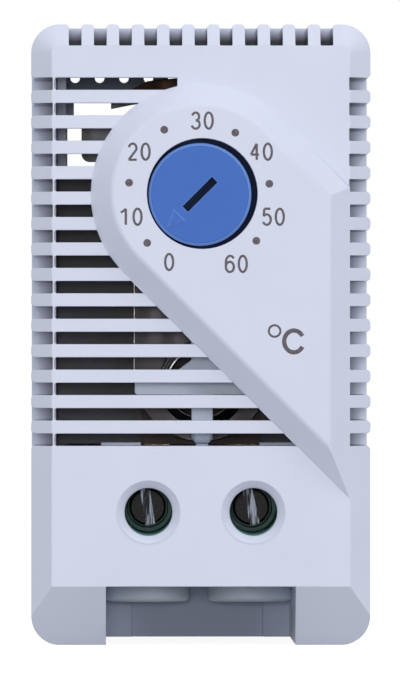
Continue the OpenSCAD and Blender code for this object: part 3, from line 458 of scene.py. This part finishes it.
FINE_R, COVER_R, USUAL_R, SOFT_R = 0.06, 0.07, 0.08, 0.10
rounded("setting_lever", "lever_moulding", "lever", USUAL_R)
rounded("mechanism_carrier", "carrier_moulding", "housing", USUAL_R)
rounded("terminal_block", "terminal_moulding", "housing", USUAL_R)
rounded("rear_base", "base_moulding", "housing", SOFT_R, [painted_shade_rear_wall, painted_light_guides], base_shade)
rounded("front_cover", "cover_moulding", "housing", COVER_R, [painted_shade_top_grooves, painted_shade_side_grooves], cover_shade)
rounded("dial_knob", "knob_moulding", "knob", FINE_R, [painted_highlight_on_face_edges, painted_shade_in_slot, painted_highlight_on_rim, painted_shade_in_gap], knob_shade)
bracket = rounded("blade_bracket", "bracket_strip", "housing", USUAL_R)
bracket.data.materials[0] = bracket_steel
rounded("bimetal_blade", "blade_strip", "blade", SOFT_R, [painted_highlight_on_blade], blade_shade)
for side in ("left", "right"):
    rounded("terminal_screw_" + side, "clamp_screw_" + side, "screw_" + side, FINE_R, [worn_steel], screw_shade,
            small=True)


def arc(cx, cy, rx, ry, start, end, steps=20):
    """Points of an elliptical arc, angles in degrees anticlockwise from the right."""
    angles = [math.radians(start + (end - start) * i / steps) for i in range(steps + 1)]
    return [(cx + rx * math.cos(angle), cy + ry * math.sin(angle)) for angle in angles]


# Centre lines of the digits in a box one wide and one high, from (-0.5, 0) to (0.5, 1)
DIGITS = {
    "0": [arc(0, 0.5, 0.5, 0.5, 0, 360, 32)],
    "1": [[(-0.5, 0.76), (-0.1, 0.87), (0.15, 1.0)], [(0.15, 1.0), (0.15, 0.0)]],
    "2": [arc(0, 0.72, 0.47, 0.28, 170, -25) + [(-0.5, 0.0)], [(-0.5, 0.0), (0.5, 0.0)]],
    "3": [arc(-0.02, 0.755, 0.43, 0.245, 165, -90), arc(-0.02, 0.265, 0.5, 0.265, 90, -165)],
    "4": [[(0.22, 0.0), (0.22, 1.0)], [(0.22, 1.0), (-0.5, 0.32)], [(-0.5, 0.32), (0.52, 0.32)]],
    "5": [[(0.43, 1.0), (-0.32, 1.0)], [(-0.32, 1.0), (-0.40, 0.53)],
          arc(-0.02, 0.325, 0.5, 0.325, 140, -155)],
    "6": [arc(0.0, 0.315, 0.5, 0.315, 0, 360, 32), arc(0.04, 0.62, 0.54, 0.38, 35, 180) + [(-0.5, 0.32)]],
}
DIGIT_W, DIGIT_H, DIGIT_PITCH, DIGIT_STROKE = 0.77, 1.56, 1.25, 0.23
NUMBERS = [("0", -3.11, 37.27), ("10", -6.80, 41.65), ("20", -6.02, 47.96), ("30", 0.10, 50.97),
           ("40", 5.83, 47.96), ("50", 6.99, 41.65), ("60", 3.40, 37.08)]
DOTS = [(-5.24, 39.12), (-6.99, 44.95), (-3.59, 50.09), (3.30, 49.80), (6.60, 44.85), (5.34, 39.32)]
DOT_R, DOT_TOP_R = 0.40, 0.36
DEGREE_RING, DEGREE_STROKE = arc(7.11, 30.58, 0.56, 0.56, 0, 360, 32), 0.21
CELSIUS, CELSIUS_STROKE = arc(8.98, 29.57, 0.94, 1.06, 29, 331, 36), 0.42
MARK_PROUD = 0.018
CLOSED_GAP = 1e-6


def stroke_mesh(strokes, width):
    """Strokes in x and z, each a round ridge of one width, as a bmesh."""
    curve = bpy.data.curves.new("strokes", "CURVE")
    curve.dimensions = "3D"
    curve.bevel_depth = width / 2 * MM
    curve.bevel_resolution = 2
    curve.use_fill_caps = True
    for points in strokes:
        closed = math.dist(points[0], points[-1]) < CLOSED_GAP
        shown = points[:-1] if closed else points
        spline = curve.splines.new("POLY")
        spline.points.add(len(shown) - 1)
        for point, (x, z) in zip(spline.points, shown):
            point.co = (x * MM, 0.0, z * MM, 1.0)
        spline.use_cyclic_u = closed
    holder = bpy.data.objects.new("strokes", curve)
    bpy.context.scene.collection.objects.link(holder)
    bpy.context.view_layer.update()
    mesh = bpy.data.meshes.new_from_object(holder.evaluated_get(bpy.context.evaluated_depsgraph_get()))
    bm = bmesh.new()
    bm.from_mesh(mesh)
    bpy.data.objects.remove(holder)
    bpy.data.curves.remove(curve)
    bpy.data.meshes.remove(mesh)
    return bm


def add_marks(name, strokes, width):
    """Ridges pressed flat and set on the plateau's face."""
    bm = stroke_mesh(strokes, width)
    bmesh.ops.scale(bm, vec=(1, 2 * MARK_PROUD / width, 1), verts=bm.verts)
    bmesh.ops.translate(bm, vec=(0, PLATEAU_Y * MM, 0), verts=bm.verts)
    for face in bm.faces:
        face.smooth = True
    add_piece(name, bm, [dial_mark], "housing")


def number_strokes(text, x, z):
    """The strokes of a number round its middle."""
    strokes = []
    for i, digit in enumerate(text):
        middle = x + (i - (len(text) - 1) / 2) * DIGIT_PITCH
        for points in DIGITS[digit]:
            strokes.append([(middle + u * DIGIT_W, z + (v - 0.5) * DIGIT_H) for u, v in points])
    return strokes


def add_dots():
    """The dots between the numbers."""
    bm = bmesh.new()
    facing_front = Matrix.Rotation(math.pi / 2, 4, "X")
    for x, z in DOTS:
        place = Matrix.Translation((x * MM, PLATEAU_Y * MM, z * MM)) @ facing_front
        bmesh.ops.create_cone(bm, cap_ends=True, segments=24, radius1=DOT_R * MM, radius2=DOT_TOP_R * MM,
                              depth=2 * MARK_PROUD * MM, matrix=place)
    add_piece("dial_dots", bm, [dial_mark], "housing")


numbers = [stroke for text, x, z in NUMBERS for stroke in number_strokes(text, x, z)]
add_marks("dial_numbers", numbers, DIGIT_STROKE)
add_marks("degree_ring", [DEGREE_RING], DEGREE_STROKE)
add_marks("celsius_letter", [CELSIUS], CELSIUS_STROKE)
add_dots()


SPRING_X, SPRING_Z, WIRE_R, WIRE_SIDES, WIRE_CREASE = 0.2, 25.4, 0.225, 12, 50
SPRING_SMALL_R, SPRING_LARGE_R, SPRING_TURNS, TURN_STEPS = 3.30, 4.20, 3.5, 40
# The back end stops short of the blade, which swings towards it
SPRING_SEAT, SPRING_FRONT, SPRING_BACK = -9.5, -9.215, -7.16
SORT_WAY = Vector((1.0, 1.618, 2.718))


def put_in_order(bm):
    """The same order of points and faces at each run, which spin doesn't keep."""
    bm.verts.sort(key=lambda vert: vert.co.dot(SORT_WAY))
    bm.verts.index_update()
    count = len(bm.verts)

    def face_rank(face):
        first, second, third = sorted(vert.index for vert in face.verts)[:3]
        return (first * count + second) * count + third

    bm.faces.sort(key=face_rank)


def wound_spring():
    """A wire's round section spun round the boss, moving back and out at each step."""
    bm = bmesh.new()
    wire = bmesh.ops.create_circle(bm, cap_ends=False, segments=WIRE_SIDES, radius=WIRE_R * MM)["verts"]
    steps = int(SPRING_TURNS * TURN_STEPS)
    start = Matrix.Translation((SPRING_X * MM, SPRING_FRONT * MM, (SPRING_Z + SPRING_SMALL_R) * MM))
    bmesh.ops.transform(bm, matrix=start @ Matrix.Rotation(math.pi / 2, 4, "Y"), verts=wire)
    ring = bm.verts[:] + bm.edges[:]
    bmesh.ops.spin(bm, geom=ring, cent=(SPRING_X * MM, 0, SPRING_Z * MM), axis=(0, 1, 0),
                   dvec=(0, (SPRING_BACK - SPRING_FRONT) / steps * MM, 0),
                   angle=SPRING_TURNS * 2 * math.pi, steps=steps, use_merge=False, use_duplicate=False)
    bmesh.ops.holes_fill(bm, edges=[e for e in bm.edges if e.is_boundary], sides=0)
    bmesh.ops.recalc_face_normals(bm, faces=bm.faces)
    for vert in bm.verts:
        along = (vert.co.y / MM - SPRING_FRONT) / (SPRING_BACK - SPRING_FRONT)
        out = Vector((vert.co.x - SPRING_X * MM, 0, vert.co.z - SPRING_Z * MM))
        vert.co += out.normalized() * (SPRING_LARGE_R - SPRING_SMALL_R) * MM * along
    put_in_order(bm)
    smooth_shading(bm, WIRE_CREASE)
    return bm


spring = add_piece("wound_spring", wound_spring(), [finishes["spring_steel"]], "lever")
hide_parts("lever_spring")
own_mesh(spring)


def seen_directly(tree, share):
    """A share of one for camera, mirror and glass rays, and none for the light on the object."""
    rays = tree.nodes.new("ShaderNodeLightPath").outputs
    camera_or_mirror = maths(tree, "MAXIMUM", rays["Is Camera Ray"], rays["Is Glossy Ray"])
    seen = maths(tree, "MAXIMUM", camera_or_mirror, rays["Is Transmission Ray"])
    return maths(tree, "MULTIPLY", seen, share)


# The floor's size and how far it lies under the foot, in metres, and its finish
FLOOR_SIZE, FLOOR_DROP = 2.0, 0.00002
FLOOR_GREY, FLOOR_GLOW, FLOOR_ROUGHNESS = 0.35, 0.90, 0.9


def flat_floor():
    """A plain floor that shows white and keeps the object's shadow."""
    bm = bmesh.new()
    bmesh.ops.create_grid(bm, x_segments=1, y_segments=1, size=FLOOR_SIZE)
    bmesh.ops.translate(bm, vec=(0, 0, -FLOOR_DROP), verts=bm.verts)
    mesh = bpy.data.meshes.new("floor")
    bm.to_mesh(mesh)
    bm.free()
    floor = bpy.data.objects.new("floor", mesh)
    bpy.context.scene.collection.objects.link(floor)
    material = bpy.data.materials.new("pale_floor")
    material.use_nodes = True
    tree = material.node_tree
    shader = tree.nodes["Principled BSDF"]
    shader.inputs["Base Color"].default_value = (FLOOR_GREY, FLOOR_GREY, FLOOR_GREY, 1.0)
    shader.inputs["Roughness"].default_value = FLOOR_ROUGHNESS
    shader.inputs["Emission Color"].default_value = (1.0, 1.0, 1.0, 1.0)
    tree.links.new(seen_directly(tree, FLOOR_GLOW), shader.inputs["Emission Strength"])
    mesh.materials.append(material)


AMBIENT = 0.625
# Name, place, width and height in metres, and power in watts of each soft box
SOFT_BOXES = [("key_box", (0.341, -0.418, 0.673), 0.40, 0.40, 1.5),
              ("left_box", (-0.486, -0.486, 0.512), 0.30, 0.30, 0.45),
              ("low_left_box", (-0.470, -0.880, 0.060), 0.16, 0.10, 0.70),
              ("low_right_box", (0.470, -0.880, 0.068), 0.16, 0.10, 1.40),
              ("front_box", (-0.028, -1.250, 0.055), 0.075, 0.075, 2.15)]
BOX_AIM = Vector((0, 0, 0.03))


def studio():
    """Even white surroundings and the soft boxes."""
    world = bpy.data.worlds.new("studio")
    bpy.context.scene.world = world
    world.use_nodes = True
    tree = world.node_tree
    background = tree.nodes["Background"]
    background.inputs["Color"].default_value = (1.0, 1.0, 1.0, 1.0)
    tree.links.new(maths(tree, "ADD", seen_directly(tree, 1.0 - AMBIENT), AMBIENT), background.inputs["Strength"])
    for name, place, width, height, power in SOFT_BOXES:
        lamp = bpy.data.lights.new(name, "AREA")
        lamp.shape = "RECTANGLE"
        lamp.size = width
        lamp.size_y = height
        lamp.energy = power
        soft_box = bpy.data.objects.new(name, lamp)
        soft_box.location = place
        soft_box.rotation_euler = (BOX_AIM - soft_box.location).to_track_quat("-Z", "Y").to_euler()
        bpy.context.scene.collection.objects.link(soft_box)


# The camera's places and the height of the picture at the front, in metres
AIM = Vector((-0.0001, FRONT_Y * MM, 0.0299))
EYE = Vector((-0.012, FRONT_Y * MM - 1.1, 0.0299))
FRAME_HEIGHT = 0.06564
SENSOR = 36.0
FAR_LIMIT = 20.0


def photo_camera():
    """The photo's view: from the front, far off and a little to the left."""
    lens = bpy.data.cameras.new("front_view")
    lens.sensor_fit = "VERTICAL"
    lens.sensor_height = SENSOR
    lens.sensor_width = SENSOR
    lens.lens = SENSOR * (AIM - EYE).length / FRAME_HEIGHT
    lens.clip_end = FAR_LIMIT
    camera = bpy.data.objects.new("front_view", lens)
    camera.location = EYE
    camera.rotation_euler = (AIM - EYE).to_track_quat("-Z", "Y").to_euler()
    bpy.context.scene.collection.objects.link(camera)
    bpy.context.scene.camera = camera


flat_floor()
studio()
photo_camera()
bpy.context.scene.view_settings.view_transform = "Standard"
